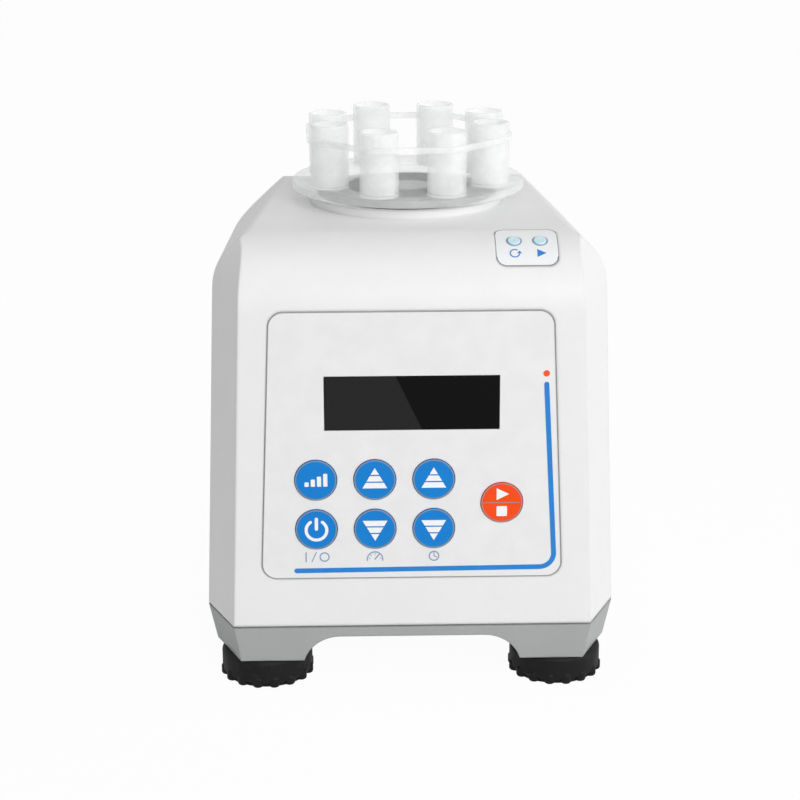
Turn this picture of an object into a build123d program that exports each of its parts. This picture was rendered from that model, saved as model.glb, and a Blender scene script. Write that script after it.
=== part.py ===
"""Vortex cell disruptor: a bench mixer whose tube rack orbits on an eccentric, sprung motor carriage.

Millimetres, +Z up. The origin is on the floor, under the motor shaft. The front faces -Y.
"""

from build123d import *
import os
from math import cos, hypot, pi, radians, sin, sqrt

# Case, measured at the seam between base tray and upper housing
seam_z = 22.9
case_half_width = 68.2
case_half_depth = 73.0
corner_cut_x = 9.5
corner_cut_y = 21.0
case_top_z = 150.0
case_wall = 2.5
side_draft = 0.040
face_draft = 0.020
corner_draft = 0.042
front_round = 23.0
rear_round = 34.0
shoulder_round = 18.0
crest_round = 4.0
crest_inset_front = 12.2
crest_inset_rear = 29.0
corner_crest_rise = 3.7
corner_lean = 0.62
corner_round = 36.0
past = 1.0
tiny = 0.01

# Base tray
leg_bottom_z = 9.6
base_taper_side = 2.7
base_taper_face = 2.0
base_taper_corner = 2.7
seam_gap = 0.6
seam_depth = 1.1
arch_top_z = 18.7
leg_width = 32.0
leg_depth = 34.0
arch_round = 12.5
tray_floor = 2.3
tray_lip_height = 3.0
tray_lip_wall = 1.5
vent_length = 26.0
vent_width = 2.6
vent_pitch = 6.5
vent_count = 5

# Feet
foot_inset_x = 19.6
foot_inset_y = 16.2
foot_radius = 15.2
foot_edge = 0.8
foot_top_edge = 1.6
foot_rim_z = 1.7
foot_bump_radius = 1.9
foot_bump_reach = 15.7
foot_bump_count = 16
foot_recess_radius = 5.2
foot_recess_depth = 3.6
foot_boss_radius = 5.0

# Screws: shank radius, head radius, head height
m4_shank = 2.0
m4_head_radius = 3.8
m4_head_height = 2.6
m3_shank = 1.5
m3_head_radius = 2.8
m3_head_height = 1.9
screw_clearance = 0.15
nut_height = 2.4
foot_screw_length = 13.0
case_screw_length = 12.0
board_screw_length = 5.6
case_screw_x = 13.0
case_screw_inset = 11.0
case_post_radius = 4.2
case_post_height = 15.0
case_rib = 3.0
wall_overlap = 0.3

# Neck
neck_radius = 33.0
neck_height = 2.8
neck_wall = 2.5
neck_ledge = 3.0
neck_ledge_depth = 1.0
seal_inner_radius = 25.0
seal_height = 2.6

# Front panel, in the plane of the front face: x across, y up the face from its datum height
panel_datum_z = 22.0
panel_bottom = 17.6
panel_top = 107.2
panel_half_bottom = 49.0
panel_half_top = 45.1
panel_shift = -0.1
panel_corner = 5.0
panel_thickness = 0.8
panel_recess = 0.6
fit_gap = 0.15
display_centre = 77.1
display_width = 55.8
display_height = 17.7
display_thickness = 2.0
display_ledge = 1.2
key_radius = 6.75
key_gap = 0.2
key_proud = 0.3
key_flange_radius = 8.1
key_flange = 1.0
key_travel = 0.35
key_columns = (-31.0, -12.0, 7.0)
key_rows = (51.5, 34.7)
start_key_x = 29.0
start_key_y = 43.3

# Control electronics behind the panel, as depths under the front face
board_depth = 8.0
board_thickness = 1.6
board_half_width = 42.0
board_bottom = 22.0
board_top = 102.0
board_boss_radius = 3.0
board_boss_x = 38.5
board_boss_inset = 4.0
switch_size = 6.0
switch_body = 3.4
switch_plunger_radius = 1.7
module_margin_x = 3.0
module_margin_y = 3.5
switch_gap = 0.1
boss_floor = 0.5

# Lamp window on the rounded shoulder
lamp_window_x = 36.9
lamp_window_width = 19.6
lamp_window_arc = 18.0
lamp_window_angle = 62.5
lamp_window_corner = 3.2
lamp_window_thickness = 1.2
lamp_window_proud = 0.2
lamp_radius = 2.1
lamp_spacing = 8.3
lamp_shift = 0.2
lamp_proud = 0.5
lamp_angle = 66.0
lamp_length = 6.0
lamp_board_width = 18.0
lamp_board_height = 9.0

# Motor carriage
motor_radius = 26.0
motor_length = 52.0
motor_wall = 1.5
motor_round = 2.0
shaft_clearance = 1.0
shaft_end_gap = 0.5
screw_end_gap = 1.0
end_cap_height = 6.0
shaft_radius = 4.0
shaft_bore_gap = 0.03
bearing_radius = 8.0
bearing_height = 5.0
stator_inner_radius = 15.6
stator_height = 34.0
rotor_radius = 15.0
rotor_height = 30.0
running_gap = 0.3
motor_screw_circle = 16.0
plate_thickness = 3.0
plate_half_x = 27.0
plate_half_y = 38.0
plate_corner = 7.0
post_x = 19.0
post_y = 30.0
post_radius = 4.5
post_pin_radius = 2.5
mount_radius = 6.0
mount_height = 14.0
washer_radius = 5.0
washer_height = 1.2
post_screw_length = 10.0
press_travel = 1.5

# Touch sensor under the motor
sensor_x = 12.0
flag_radius = 1.5
flag_length = 7.0
sensor_slot = 5.0
sensor_wall = 2.4
sensor_width = 9.0
sensor_overlap = 4.5
sensor_floor_gap = 1.0

# Eccentric, drive head and counterweight
orbit_radius = 2.0
orbit_angle = 65.0
counterweight_radius = 20.0
counterweight_height = 12.0
counterweight_hub_radius = 8.0
counterweight_lift = 3.0
crank_radius = 8.0
crank_height = 6.0
crank_gap = 1.0
head_gap = 2.0
head_height = 27.5
head_bearing_radius = 11.0
head_bearing_height = 7.0
head_radius = 14.0
head_web = 3.0
head_flange_radius = 21.0
head_flange_height = 3.5
spigot_radius = 8.0
spigot_length = 9.0
spigot_gap = 0.05
spigot_chamfer = 1.0
spigot_end_gap = 1.0

# Rack
rack_gap = 1.7
rack_radius = 39.8
rack_thickness = 2.8
rack_edge = 0.8
holder_count = 8
holder_circle = 29.35
rack_turn = 2.0
holder_radius = 6.5
holder_bore = 5.5
holder_height = 20.6
holder_seat = 0.8
holder_lip = 0.45
hoop_wall = 1.0
hoop_height = 2.0
hoop_rise = 15.4

# Rear: power inlet and power board
inlet_z = 48.5
inlet_recess = 4.6
inlet_flange_width = 50.0
inlet_flange_height = 23.0
inlet_flange_corner = 4.0
inlet_flange_thickness = 2.4
inlet_body_width = 28.0
inlet_body_height = 20.4
inlet_body_depth = 19.0
inlet_cavity_width = 24.0
inlet_cavity_height = 16.4
inlet_cavity_depth = 15.5
inlet_pin_width = 2.0
inlet_pin_height = 4.0
inlet_pin_depth = 13.0
inlet_pin_tail = 4.0
inlet_pin_spacing = 7.0
inlet_pin_drop = 1.6
inlet_earth_rise = 3.2
inlet_screw_spacing = 40.0
power_board_inset = 10.0
power_board_half_width = 34.0
power_board_bottom_z = 62.0
power_board_top_z = 118.0
power_boss_inset = 4.5
transformer_x = -13.0
transformer_size = (24.0, 14.0, 22.0)
capacitor_x = 13.0
capacitor_radius = 7.0
capacitor_length = 14.0

# What follows from the sizes above
corner_length = hypot(corner_cut_x, corner_cut_y)
corner_nx = corner_cut_y / corner_length
corner_ny = corner_cut_x / corner_length
corner_reach = corner_nx * case_half_width + corner_ny * (case_half_depth - corner_cut_y)
tray_top_z = arch_top_z + tray_floor
neck_top_z = case_top_z + neck_height
seal_z = case_top_z - neck_ledge_depth
rack_bottom_z = neck_top_z + rack_gap
rack_top_z = rack_bottom_z + rack_thickness
head_bottom_z = rack_bottom_z - head_height
crank_z = head_bottom_z - head_gap - crank_height
plate_top_z = crank_z - crank_gap - counterweight_height - counterweight_lift
motor_top_z = plate_top_z - plate_thickness
motor_bottom_z = motor_top_z - motor_length
foot_x = case_half_width - foot_inset_x
foot_y = case_half_depth - foot_inset_y
arch_half_width = case_half_width - leg_width
side_arch_half_width = case_half_depth - leg_depth
case_screw_y = case_half_depth - case_screw_inset
power_board_y = case_half_depth - power_board_inset
crest_half_front = case_half_width - crest_inset_front
crest_half_rear = case_half_width - crest_inset_rear
foot_places = [(sx * foot_x, sy * foot_y) for sy in (-1, 1) for sx in (-1, 1)]
foot_names = ("foot_front_left", "foot_front_right", "foot_rear_left", "foot_rear_right")
post_places = [(sx * post_x, sy * post_y) for sy in (-1, 1) for sx in (-1, 1)]
case_screw_places = [(sx * case_screw_x, sy * case_screw_y) for sy in (-1, 1) for sx in (-1, 1)]
block_half_depth = case_half_depth + past
face_angle = sqrt(1 + face_draft**2)
pin_x = orbit_radius * cos(radians(orbit_angle))
pin_y = orbit_radius * sin(radians(orbit_angle))
front_normal = (0, -1 / face_angle, face_draft / face_angle)
panel_datum_y = case_half_depth - face_draft * (panel_datum_z - seam_z)
front_face = Plane(origin=(0, -panel_datum_y, panel_datum_z), x_dir=(1, 0, 0), z_dir=front_normal)


def tube(x, y, z0, z1, radius):
    """An upright cylinder from z0 to z1."""
    return Pos(x, y, (z0 + z1) / 2) * Cylinder(radius, z1 - z0)


def brick(x0, x1, y0, y1, z0, z1):
    """A box from its two corners."""
    return Pos((x0 + x1) / 2, (y0 + y1) / 2, (z0 + z1) / 2) * Box(x1 - x0, y1 - y0, z1 - z0)


def on_face(x, y, depth0, depth1, radius):
    """A cylinder square to the front face, between two heights above it."""
    return front_face * Pos(x, y, (depth0 + depth1) / 2) * Cylinder(radius, depth1 - depth0)


def level(x, z, y0, y1, radius):
    """A level cylinder along Y."""
    return Pos(x, (y0 + y1) / 2, z) * Rot(90, 0, 0) * Cylinder(radius, y1 - y0)


def face_brick(x0, x1, y0, y1, depth0, depth1):
    """A box in the front face's own directions."""
    middle = Pos((x0 + x1) / 2, (y0 + y1) / 2, (depth0 + depth1) / 2)
    return front_face * middle * Box(x1 - x0, y1 - y0, depth1 - depth0)


def m4_screw(x, y, z, length):
    """An upright screw driven from below: z is the underside of its seat."""
    return tube(x, y, z, z + length, m4_shank) + tube(x, y, z - m4_head_height, z, m4_head_radius)


def octagon(half_width, half_depth, reach):
    """The case's plan: a rectangle whose corners are cut at a distance of reach from the middle."""
    front_x = (reach - corner_ny * half_depth) / corner_nx
    side_y = (reach - corner_nx * half_width) / corner_ny
    right = [(front_x, -half_depth), (half_width, -side_y), (half_width, side_y), (front_x, half_depth)]
    left = [(-x, y) for x, y in reversed(right)]
    return make_face(Polyline(*right, *left, close=True))


def seam_plan(inset):
    return octagon(case_half_width - inset, case_half_depth - inset, corner_reach - inset)


def corner_profile(crest, inset, bottom_z):
    """The cut corner seen along its face: a drafted wall that leans in to the flat top, mirrored."""
    top = case_top_z - inset
    wall_foot = corner_reach + corner_draft * seam_z - inset
    lean_foot = crest + corner_lean * case_top_z - inset * hypot(1, corner_lean)
    knee_z = (lean_foot - wall_foot) / (corner_lean - corner_draft)
    right = [
        (wall_foot - corner_draft * bottom_z, bottom_z),
        (lean_foot - corner_lean * knee_z, knee_z),
        (lean_foot - corner_lean * top, top),
    ]
    left = [(-x, z) for x, z in reversed(right)]
    face = make_face(Polyline(*right, *left, close=True))
    knees = face.vertices().filter_by(lambda v: abs(v.Y - knee_z) < tiny)
    face = fillet(knees, corner_round - inset)
    crests = face.vertices().filter_by(lambda v: abs(v.Y - top) < tiny)
    return fillet(crests, crest_round - inset)


def long_edges(shape, low_z):
    """The edges that run from front to back above a height."""
    return shape.edges().filter_by(lambda e: abs(e.tangent_at(0.5).Y) > 0.9 and e.center().Z > low_z)


def side_slab(inset, bottom_z):
    """Drafted side walls, the side shoulders that close in to the rear, and the flat top."""
    top = case_top_z - inset
    half = case_half_width + shoulder_round
    slab = brick(-half, half, -block_half_depth, block_half_depth, bottom_z, top)
    closing = (crest_half_front - crest_half_rear) / (2 * block_half_depth)
    for side in (-1, 1):
        wall = Vector(side, 0, side_draft).normalized()
        shoulder = Vector(side, closing, 1).normalized()
        wall_point = Vector(side * case_half_width, 0, seam_z) - wall * inset
        crest_point = Vector(side * crest_half_front, -block_half_depth, case_top_z) - shoulder * inset
        slab = split(slab, bisect_by=Plane(origin=wall_point, z_dir=wall), keep=Keep.BOTTOM)
        slab = split(slab, bisect_by=Plane(origin=crest_point, z_dir=shoulder), keep=Keep.BOTTOM)
    slab = fillet(long_edges(slab, top - tiny), crest_round - inset)
    knees = long_edges(slab, bottom_z + past).filter_by(lambda e: abs(e.center().X) > crest_half_front)
    return fillet(knees, shoulder_round - inset)


def case_block(inset, bottom_z):
    """The upper case's outer form, or its cavity when inset is the wall."""
    sides = side_slab(inset, bottom_z)
    top = case_top_z - inset
    foot_y_in = case_half_depth - face_draft * (bottom_z - seam_z) - inset
    head_y_in = case_half_depth - face_draft * (top - seam_z) - inset
    ends = make_face(
        Polyline(
            (-foot_y_in, bottom_z), (-head_y_in, top), (head_y_in, top), (foot_y_in, bottom_z), close=True
        )
    )
    for end_y, radius in ((-head_y_in, front_round), (head_y_in, rear_round)):
        corner = ends.vertices().filter_by(lambda v: (v.center() - Vector(end_y, top)).length < tiny)
        ends = fillet(corner, radius - inset)
    block = sides & extrude(Plane.YZ * ends, amount=case_half_width + past, both=True)
    crest_y = case_half_depth - face_draft * (case_top_z - seam_z) - front_round
    crest_share = (block_half_depth - crest_y) / (2 * block_half_depth)
    crest_x = crest_half_front + (crest_half_rear - crest_half_front) * crest_share
    corner_crest = corner_nx * crest_x + corner_ny * crest_y + corner_crest_rise
    profile = corner_profile(corner_crest, inset, bottom_z)
    for sy in (-1, 1):
        plane = Plane(
            origin=(0, 0, 0), x_dir=(corner_nx, sy * corner_ny, 0), z_dir=(sy * corner_ny, -corner_nx, 0)
        )
        block = block & extrude(plane * profile, amount=2 * case_half_depth, both=True)
    return block


def rear_wall_y(z):
    """The outside of the rear wall at a height."""
    return case_half_depth - face_draft * (z - seam_z)


def panel_outline(gap):
    """The front panel's outline on the front face, a trapezium with round corners."""
    face = make_face(
        Polyline(
            (panel_shift - panel_half_bottom - gap, panel_bottom - gap),
            (panel_shift + panel_half_bottom + gap, panel_bottom - gap),
            (panel_shift + panel_half_top + gap, panel_top + gap),
            (panel_shift - panel_half_top - gap, panel_top + gap),
            close=True,
        )
    )
    return fillet(face.vertices(), panel_corner)


def panel_slab(gap, depth0, depth1):
    return extrude(front_face.offset(depth0) * panel_outline(gap), amount=depth1 - depth0)


def display_hole(gap, depth0, depth1):
    half_x = display_width / 2 + gap
    half_y = display_height / 2 + gap
    return face_brick(-half_x, half_x, display_centre - half_y, display_centre + half_y, depth0, depth1)


# The floor of the inlet's pocket, the floor of its socket, and its screws
inlet_seat_y = rear_wall_y(inlet_z) - inlet_recess
inlet_floor_y = inlet_seat_y + inlet_flange_thickness - inlet_cavity_depth
inlet_screw_xs = (-inlet_screw_spacing / 2, inlet_screw_spacing / 2)

key_places = {
    "mode_key": (key_columns[0], key_rows[0]),
    "power_key": (key_columns[0], key_rows[1]),
    "speed_up_key": (key_columns[1], key_rows[0]),
    "speed_down_key": (key_columns[1], key_rows[1]),
    "time_up_key": (key_columns[2], key_rows[0]),
    "time_down_key": (key_columns[2], key_rows[1]),
    "start_stop_key": (start_key_x, start_key_y),
}
board_boss_rows = (board_bottom + board_boss_inset, board_top - board_boss_inset)
board_boss_places = [(sx * board_boss_x, y) for y in board_boss_rows for sx in (-1, 1)]
power_boss_places = [
    (sx * (power_board_half_width - power_boss_inset), z)
    for z in (power_board_bottom_z + power_boss_inset, power_board_top_z - power_boss_inset)
    for sx in (-1, 1)
]

# The rounded shoulder's own axis, along X
round_y = -(case_half_depth - face_draft * (case_top_z - seam_z) - front_round)
round_z = case_top_z - front_round


def shoulder_plane(angle, x, radius):
    """A plane on the rounded shoulder at an angle above level, x across and z outwards."""
    out = (0, -cos(radians(angle)), sin(radians(angle)))
    origin = (x, round_y + out[1] * radius, round_z + out[2] * radius)
    return Plane(origin=origin, x_dir=(1, 0, 0), z_dir=out)


def lamp_window_solid(gap, inner, outer):
    """The band of the rounded shoulder under the lamp window, between two radii."""
    chord = 2 * front_round * sin(lamp_window_arc / front_round / 2)
    face = RectangleRounded(lamp_window_width + 2 * gap, chord + 2 * gap, lamp_window_corner)
    prism = extrude(shoulder_plane(lamp_window_angle, lamp_window_x, inner / 2) * face, amount=outer)
    centre = Pos(lamp_window_x, round_y, round_z) * Rot(0, 90, 0)
    width = 2 * lamp_window_width
    return prism & (centre * (Cylinder(outer, width) - Cylinder(inner, width)))


def lamp_cylinder(side, inner, outer, radius):
    plane = shoulder_plane(lamp_angle, lamp_window_x + lamp_shift + side * lamp_spacing / 2, inner)
    return plane * Pos(0, 0, (outer - inner) / 2) * Cylinder(radius, outer - inner)


def lamp_hole(side):
    return lamp_cylinder(side, front_round - 2 * case_wall, front_round + 2 * past, lamp_radius + fit_gap)


def upper_housing():
    shell = case_block(0, seam_z) - case_block(case_wall, seam_z - past)
    shell = shell + tube(0, 0, case_top_z - case_wall, neck_top_z, neck_radius)
    shell = shell - tube(0, 0, seal_z, neck_top_z + past, neck_radius - neck_wall)
    shell = shell - tube(0, 0, case_top_z - 2 * case_wall, neck_top_z, neck_radius - neck_wall - neck_ledge)
    shell = shell - panel_slab(fit_gap, -panel_recess, past)
    shell = shell - display_hole(fit_gap, panel_thickness - panel_recess - display_thickness, past)
    shell = shell - display_hole(-display_ledge, -case_wall - past, past)
    for x, y in key_places.values():
        shell = shell - on_face(x, y, -case_wall - past, past, key_radius + key_gap)
    window_floor = front_round + lamp_window_proud - lamp_window_thickness
    shell = shell - lamp_window_solid(fit_gap, window_floor, front_round + past)
    for side in (-1, 1):
        shell = shell - lamp_hole(side)
    for x, y in board_boss_places:
        shell = shell + on_face(x, y, -board_depth, -case_wall + wall_overlap, board_boss_radius)
        shell = shell - on_face(x, y, -board_depth - past, -case_wall - boss_floor, m3_shank + fit_gap)
    for x, y in case_screw_places:
        shell = shell + case_post(x, y)
        hole_top = tray_top_z + case_screw_length
        shell = shell - tube(x, y, tray_top_z - past, hole_top, m4_shank + screw_clearance)
    for x, z in power_boss_places:
        inside = rear_wall_y(z) - case_wall
        shell = shell + level(x, z, power_board_y, inside + wall_overlap, board_boss_radius)
        shell = shell - level(x, z, power_board_y - past, inside - wall_overlap, m3_shank + fit_gap)
    return (shell + inlet_pocket()) - inlet_opening()


def case_post(x, y):
    """A screw post that stands on the tray, with a rib to the wall beside it."""
    wall_y = y / abs(y) * (case_half_depth - case_wall + wall_overlap)
    top = tray_top_z + case_post_height
    rib_bottom = seam_z + tray_lip_height + running_gap
    rib = brick(x - case_rib / 2, x + case_rib / 2, min(y, wall_y), max(y, wall_y), rib_bottom, top)
    return tube(x, y, tray_top_z, top, case_post_radius) + rib


def inlet_pocket():
    """The walls of the pocket that lets the inlet's flange sit under the rear face."""
    grow = fit_gap + case_wall
    width, height = inlet_flange_width + 2 * grow, inlet_flange_height + 2 * grow
    pocket = RectangleRounded(width, height, inlet_flange_corner + grow)
    floor_plane = Plane(origin=(0, inlet_seat_y - case_wall, inlet_z), x_dir=(-1, 0, 0), z_dir=(0, 1, 0))
    return extrude(floor_plane * pocket, amount=inlet_recess)


def inlet_opening():
    """The pocket, the hole for the inlet's body and the holes for its two screws."""
    y = inlet_seat_y
    seat = Plane(origin=(0, y, inlet_z), x_dir=(-1, 0, 0), z_dir=(0, 1, 0))
    width, height = inlet_flange_width + 2 * fit_gap, inlet_flange_height + 2 * fit_gap
    outline = RectangleRounded(width, height, inlet_flange_corner + fit_gap)
    opening = extrude(seat * outline, amount=2 * inlet_recess)
    half_x = inlet_body_width / 2 + fit_gap
    low_z = inlet_z - inlet_body_height / 2 - fit_gap
    high_z = inlet_z + inlet_body_height / 2 + fit_gap
    opening = opening + brick(-half_x, half_x, y - 2 * case_wall, y + past, low_z, high_z)
    for x in inlet_screw_xs:
        opening = opening + level(x, inlet_z, y - 2 * case_wall, y + past, m3_shank + screw_clearance)
    return opening


def base_tray():
    low = octagon(
        case_half_width - base_taper_side, case_half_depth - base_taper_face, corner_reach - base_taper_corner
    )
    tray_edge_z = seam_z - seam_gap
    tray = loft([Pos(0, 0, leg_bottom_z) * low, Pos(0, 0, tray_edge_z) * seam_plan(0)], ruled=True)
    ledge = extrude(Pos(0, 0, tray_edge_z) * seam_plan(seam_depth), amount=seam_gap)
    lip_z = seam_z + tray_lip_height
    lip = extrude(Pos(0, 0, tray_edge_z) * seam_plan(case_wall + fit_gap), amount=lip_z - tray_edge_z)
    pocket = extrude(Pos(0, 0, tray_top_z) * seam_plan(case_wall + fit_gap + tray_lip_wall), amount=seam_z)
    tray = tray + ledge + lip - pocket
    for plane, half in ((Plane.XZ, arch_half_width), (Plane.YZ, side_arch_half_width)):
        arch = make_face(Polyline((-half, 0), (-half, arch_top_z), (half, arch_top_z), (half, 0), close=True))
        arch = fillet(arch.vertices().filter_by(lambda v: v.Y > tiny), arch_round)
        tray = tray - extrude(plane * arch, amount=2 * case_half_depth, both=True)
    room = extrude(
        Pos(0, 0, leg_bottom_z + case_wall)
        * octagon(
            case_half_width - base_taper_side - case_wall,
            case_half_depth - base_taper_face - case_wall,
            corner_reach - base_taper_corner - case_wall,
        ),
        amount=tray_top_z - leg_bottom_z - case_wall,
    )
    for x, y in foot_places:
        sx, sy = x / abs(x), y / abs(y)
        xs = sorted((sx * (arch_half_width + case_wall), sx * case_half_width))
        ys = sorted((sy * (side_arch_half_width + case_wall), sy * case_half_depth))
        leg_room = room & brick(*xs, *ys, leg_bottom_z, tray_top_z)
        tray = tray - (leg_room - tube(x, y, leg_bottom_z, tray_top_z, foot_boss_radius))
        tray = tray - tube(x, y, 0, foot_recess_depth + foot_screw_length, m4_shank + screw_clearance)
    for x, y in case_screw_places + post_places:
        tray = tray - tube(x, y, arch_top_z - past, tray_top_z + past, m4_shank + screw_clearance)
        head_bottom = arch_top_z - m4_head_height - past
        tray = tray - tube(x, y, head_bottom, arch_top_z, m4_head_radius + screw_clearance)
    for k in range(vent_count):
        y = (k - (vent_count - 1) / 2) * vent_pitch
        slot = SlotCenterToCenter(vent_length - vent_width, vent_width)
        tray = tray - extrude(Pos(0, y, arch_top_z - past) * slot, amount=tray_floor + 2 * past)
    return tray


def foot(x, y):
    """A rubber foot: a smooth ring whose lower rim carries a row of round bumps."""
    disc = tube(0, 0, foot_rim_z, leg_bottom_z, foot_radius)
    disc = fillet(disc.edges().group_by(Axis.Z)[0], foot_edge)
    disc = fillet(disc.edges().group_by(Axis.Z)[-1], foot_top_edge)
    circle = foot_bump_reach - foot_bump_radius
    disc = disc + tube(0, 0, 0, foot_rim_z + foot_edge, circle)
    bump = Pos(circle, 0, foot_bump_radius) * Cylinder(foot_bump_radius, 2 * foot_bump_radius)
    bump = fillet(bump.edges().filter_by(GeomType.CIRCLE), foot_bump_radius / 2)
    for k in range(foot_bump_count):
        disc = disc + Rot(0, 0, (k + 0.5) * 360 / foot_bump_count) * bump
    disc = disc - tube(0, 0, -past, foot_recess_depth, foot_recess_radius)
    disc = disc - tube(0, 0, 0, leg_bottom_z + past, m4_shank + screw_clearance)
    return Pos(x, y, 0) * disc


def foot_screws():
    return [m4_screw(x, y, foot_recess_depth, foot_screw_length) for x, y in foot_places]


def case_screws():
    return [m4_screw(x, y, arch_top_z, case_screw_length - screw_end_gap) for x, y in case_screw_places]


def front_panel():
    panel = panel_slab(0, -panel_recess, panel_thickness - panel_recess)
    panel = panel - display_hole(fit_gap, -past, past)
    for x, y in key_places.values():
        panel = panel - on_face(x, y, -past, past, key_radius + key_gap)
    return panel


def display_window():
    front = panel_thickness - panel_recess
    return display_hole(0, front - display_thickness, front)


def key(x, y):
    front = panel_thickness - panel_recess + key_proud
    cap = on_face(x, y, -case_wall - key_flange, front, key_radius)
    edge = cap.edges().sort_by(Axis.Y)[0]
    cap = fillet(edge, key_proud)
    return cap + on_face(x, y, -case_wall - key_flange, -case_wall, key_flange_radius)


def control_board():
    back = -board_depth - board_thickness
    board = face_brick(-board_half_width, board_half_width, board_bottom, board_top, back, -board_depth)
    for x, y in board_boss_places:
        board = board - on_face(x, y, back - past, -board_depth + past, m3_shank + screw_clearance)
    return board


def key_switches():
    """One tact switch behind each key, with room for the key's travel in front."""
    switches = []
    tip = -case_wall - key_flange - key_travel - switch_gap
    half = switch_size / 2
    for x, y in key_places.values():
        body = face_brick(x - half, x + half, y - half, y + half, -board_depth, -board_depth + switch_body)
        switches.append(body + on_face(x, y, -board_depth, tip, switch_plunger_radius))
    return switches


def display_module():
    """The lit display behind its window, resting on the control board."""
    half_x = display_width / 2 + module_margin_x
    half_y = display_height / 2 + module_margin_y
    front = -case_wall - switch_gap
    low_y, high_y = display_centre - half_y, display_centre + half_y
    return face_brick(-half_x, half_x, low_y, high_y, -board_depth, front)


def board_screws():
    """Screws that hold the control board and the power board to their bosses."""
    screws = []
    back = -board_depth - board_thickness
    for x, y in board_boss_places:
        shank = on_face(x, y, back, back + board_screw_length, m3_shank)
        screws.append(shank + on_face(x, y, back - m3_head_height, back, m3_head_radius))
    front = power_board_y - board_thickness
    for x, z in power_boss_places:
        shank = level(x, z, front, front + board_screw_length, m3_shank)
        screws.append(shank + level(x, z, front - m3_head_height, front, m3_head_radius))
    return screws


def lamp_window():
    outer = front_round + lamp_window_proud
    window = lamp_window_solid(0, outer - lamp_window_thickness, outer)
    for side in (-1, 1):
        window = window - lamp_hole(side)
    return window


def lamp(side):
    """A flat-topped lamp that stands on the lamp board and shows through the window."""
    top = front_round + lamp_window_proud
    stem = lamp_cylinder(side, top - lamp_length, top + lamp_proud, lamp_radius)
    outward = Vector(*shoulder_plane(lamp_angle, 0, 0).z_dir)
    edge = stem.edges().filter_by(GeomType.CIRCLE).sort_by(lambda e: e.center().dot(outward))[-1]
    return fillet(edge, lamp_proud)


def lamp_board():
    back = front_round + lamp_window_proud - lamp_length
    plane = shoulder_plane(lamp_angle, lamp_window_x, back)
    return plane * Pos(0, 0, -board_thickness / 2) * Box(lamp_board_width, lamp_board_height, board_thickness)


def neck_seal():
    ring = tube(0, 0, seal_z, seal_z + seal_height, neck_radius - neck_wall - fit_gap)
    return ring - tube(0, 0, seal_z - past, seal_z + seal_height + past, seal_inner_radius)


def motor_can():
    can = tube(0, 0, motor_bottom_z, motor_top_z, motor_radius)
    can = fillet(can.edges().group_by(Axis.Z)[0], motor_round)
    can = can - tube(0, 0, motor_bottom_z + motor_wall, motor_top_z + past, motor_radius - motor_wall)
    low = motor_bottom_z + motor_wall
    seat = tube(0, 0, motor_bottom_z, low + bearing_height, bearing_radius + motor_wall)
    return can + seat - tube(0, 0, low, motor_top_z, bearing_radius)


def motor_end_cap():
    low = motor_top_z - end_cap_height
    cap = tube(0, 0, low, motor_top_z, motor_radius - motor_wall)
    cap = cap - tube(0, 0, low - past, low + bearing_height, bearing_radius)
    cap = cap - tube(0, 0, low, motor_top_z + past, shaft_radius + shaft_clearance)
    for x, y in motor_screw_places():
        cap = cap - tube(x, y, low - past, motor_top_z + past, m3_shank + screw_clearance)
    return cap


def motor_screw_places():
    return [(motor_screw_circle * cos(k * pi / 2), motor_screw_circle * sin(k * pi / 2)) for k in range(4)]


def motor_plate():
    plate = extrude(
        Pos(0, 0, motor_top_z) * RectangleRounded(2 * plate_half_x, 2 * plate_half_y, plate_corner),
        amount=plate_thickness,
    )
    plate = plate - tube(0, 0, motor_top_z - past, plate_top_z + past, shaft_radius + shaft_clearance)
    for x, y in motor_screw_places():
        plate = plate - tube(x, y, motor_top_z - past, plate_top_z + past, m3_shank + screw_clearance)
    for x, y in post_places:
        plate = plate - tube(x, y, motor_top_z - past, plate_top_z + past, post_pin_radius + running_gap)
    return plate


def motor_screws():
    low = motor_top_z - end_cap_height
    high = plate_top_z
    return [
        tube(x, y, low, high, m3_shank) + tube(x, y, high, high + m3_head_height, m3_head_radius)
        for x, y in motor_screw_places()
    ]


def bearing(x, y, z, inner, outer, height):
    return tube(x, y, z, z + height, outer) - tube(x, y, z - past, z + height + past, inner)


def lower_bearing():
    low = motor_bottom_z + motor_wall
    return bearing(0, 0, low, shaft_radius + shaft_bore_gap, bearing_radius, bearing_height)


def upper_bearing():
    low = motor_top_z - end_cap_height
    return bearing(0, 0, low, shaft_radius + shaft_bore_gap, bearing_radius, bearing_height)


def stator():
    middle = (motor_bottom_z + motor_top_z) / 2
    low, high = middle - stator_height / 2, middle + stator_height / 2
    core = tube(0, 0, low, high, motor_radius - motor_wall)
    return core - tube(0, 0, low - past, high + past, stator_inner_radius)


def rotor():
    middle = (motor_bottom_z + motor_top_z) / 2
    low, high = middle - rotor_height / 2, middle + rotor_height / 2
    return tube(0, 0, low, high, rotor_radius) - tube(0, 0, low - past, high + past, shaft_radius)


def guide_posts():
    """Four posts that stand on the tray. The motor plate slides on their thinner ends."""
    posts = []
    for x, y in post_places:
        post = tube(x, y, tray_top_z, motor_top_z - mount_height, post_radius)
        post = post + tube(x, y, tray_top_z, plate_top_z, post_pin_radius)
        post = post - tube(x, y, tray_top_z - past, arch_top_z + post_screw_length, m4_shank + fit_gap)
        posts.append(post)
    return posts


def post_screws():
    return [m4_screw(x, y, arch_top_z, post_screw_length - screw_end_gap) for x, y in post_places]


def rubber_mounts():
    """Rubber rings that carry the motor plate and push it back up."""
    low = motor_top_z - mount_height
    bore = post_pin_radius + fit_gap
    return [bearing(x, y, low, bore, mount_radius, mount_height) for x, y in post_places]


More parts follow.
